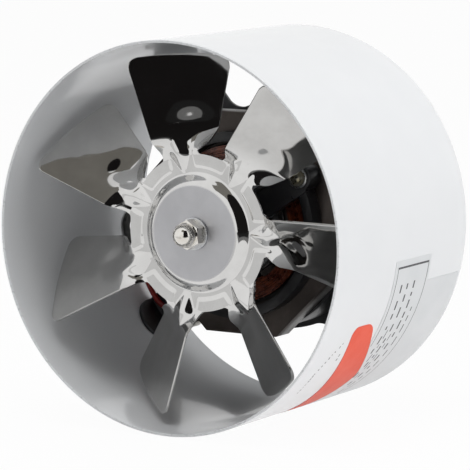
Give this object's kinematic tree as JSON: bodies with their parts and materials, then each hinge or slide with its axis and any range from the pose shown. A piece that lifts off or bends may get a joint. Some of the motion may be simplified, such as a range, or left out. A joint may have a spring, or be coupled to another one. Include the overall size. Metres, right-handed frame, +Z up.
{
  "type": "inline duct fan",
  "caption": "Inline duct fan: a white sheet-metal tube with a small bracket-mounted induction motor turning a stamped, twisted-blade impeller on its axis.",
  "frame": {"origin": "on the fan axis at mid-length of the tube", "axes": "+Y along the axis from the impeller end to the motor end, +Z up, +X to the right seen from the impeller end"},
  "size_m": [0.148, 0.1, 0.148],
  "materials": {
    "casing": "gloss white paint",
    "impeller": "polished",
    "motor_black": "satin black paint",
    "lamination": "varnished sheet stack",
    "copper": "red-brown enamel",
    "insulation": "fibre board",
    "bronze": "sintered bush",
    "steel": "bright zinc",
    "screw": "yellow zinc",
    "nut": "nickel plate",
    "aluminium": "as cast",
    "lead": "red insulation",
    "nylon": "natural",
    "rubber": "matt",
    "label": "printed film",
    "stripe": "printed film"
  },
  "bodies": {
    "stator": {"casing": "casing", "cable_grommet": "rubber", "label_sheet": "label", "label_stripe": "stripe", "motor_bracket": "motor_black", "rear_bell": "motor_black", "front_bell": "motor_black", "stator_core": "lamination", "front_insulator": "insulation", "rear_insulator": "insulation", "front_winding": "copper", "rear_winding": "copper", "front_bush": "bronze", "rear_bush": "bronze", "front_bush_retainer": "steel", "rear_bush_retainer": "steel", "through_bolts": "screw", "bolt_washers": "steel", "bolt_nuts": "steel", "lead_wires": "lead", "splice_caps": "nylon", "lead_tie": "nylon"},
    "rotor": {"shaft": "steel", "rotor_core": "lamination", "rotor_cage": "aluminium", "thrust_washers": "nylon", "impeller_collar": "steel", "impeller": "impeller", "nut_washer": "steel", "acorn_nut": "nut"}
  },
  "joints": [
    {"name": "impeller_spin", "type": "hinge", "parent": "stator", "child": "rotor", "pos_m": [0, 0, 0], "axis": [0, -1, 0], "continuous": true}
  ]
}
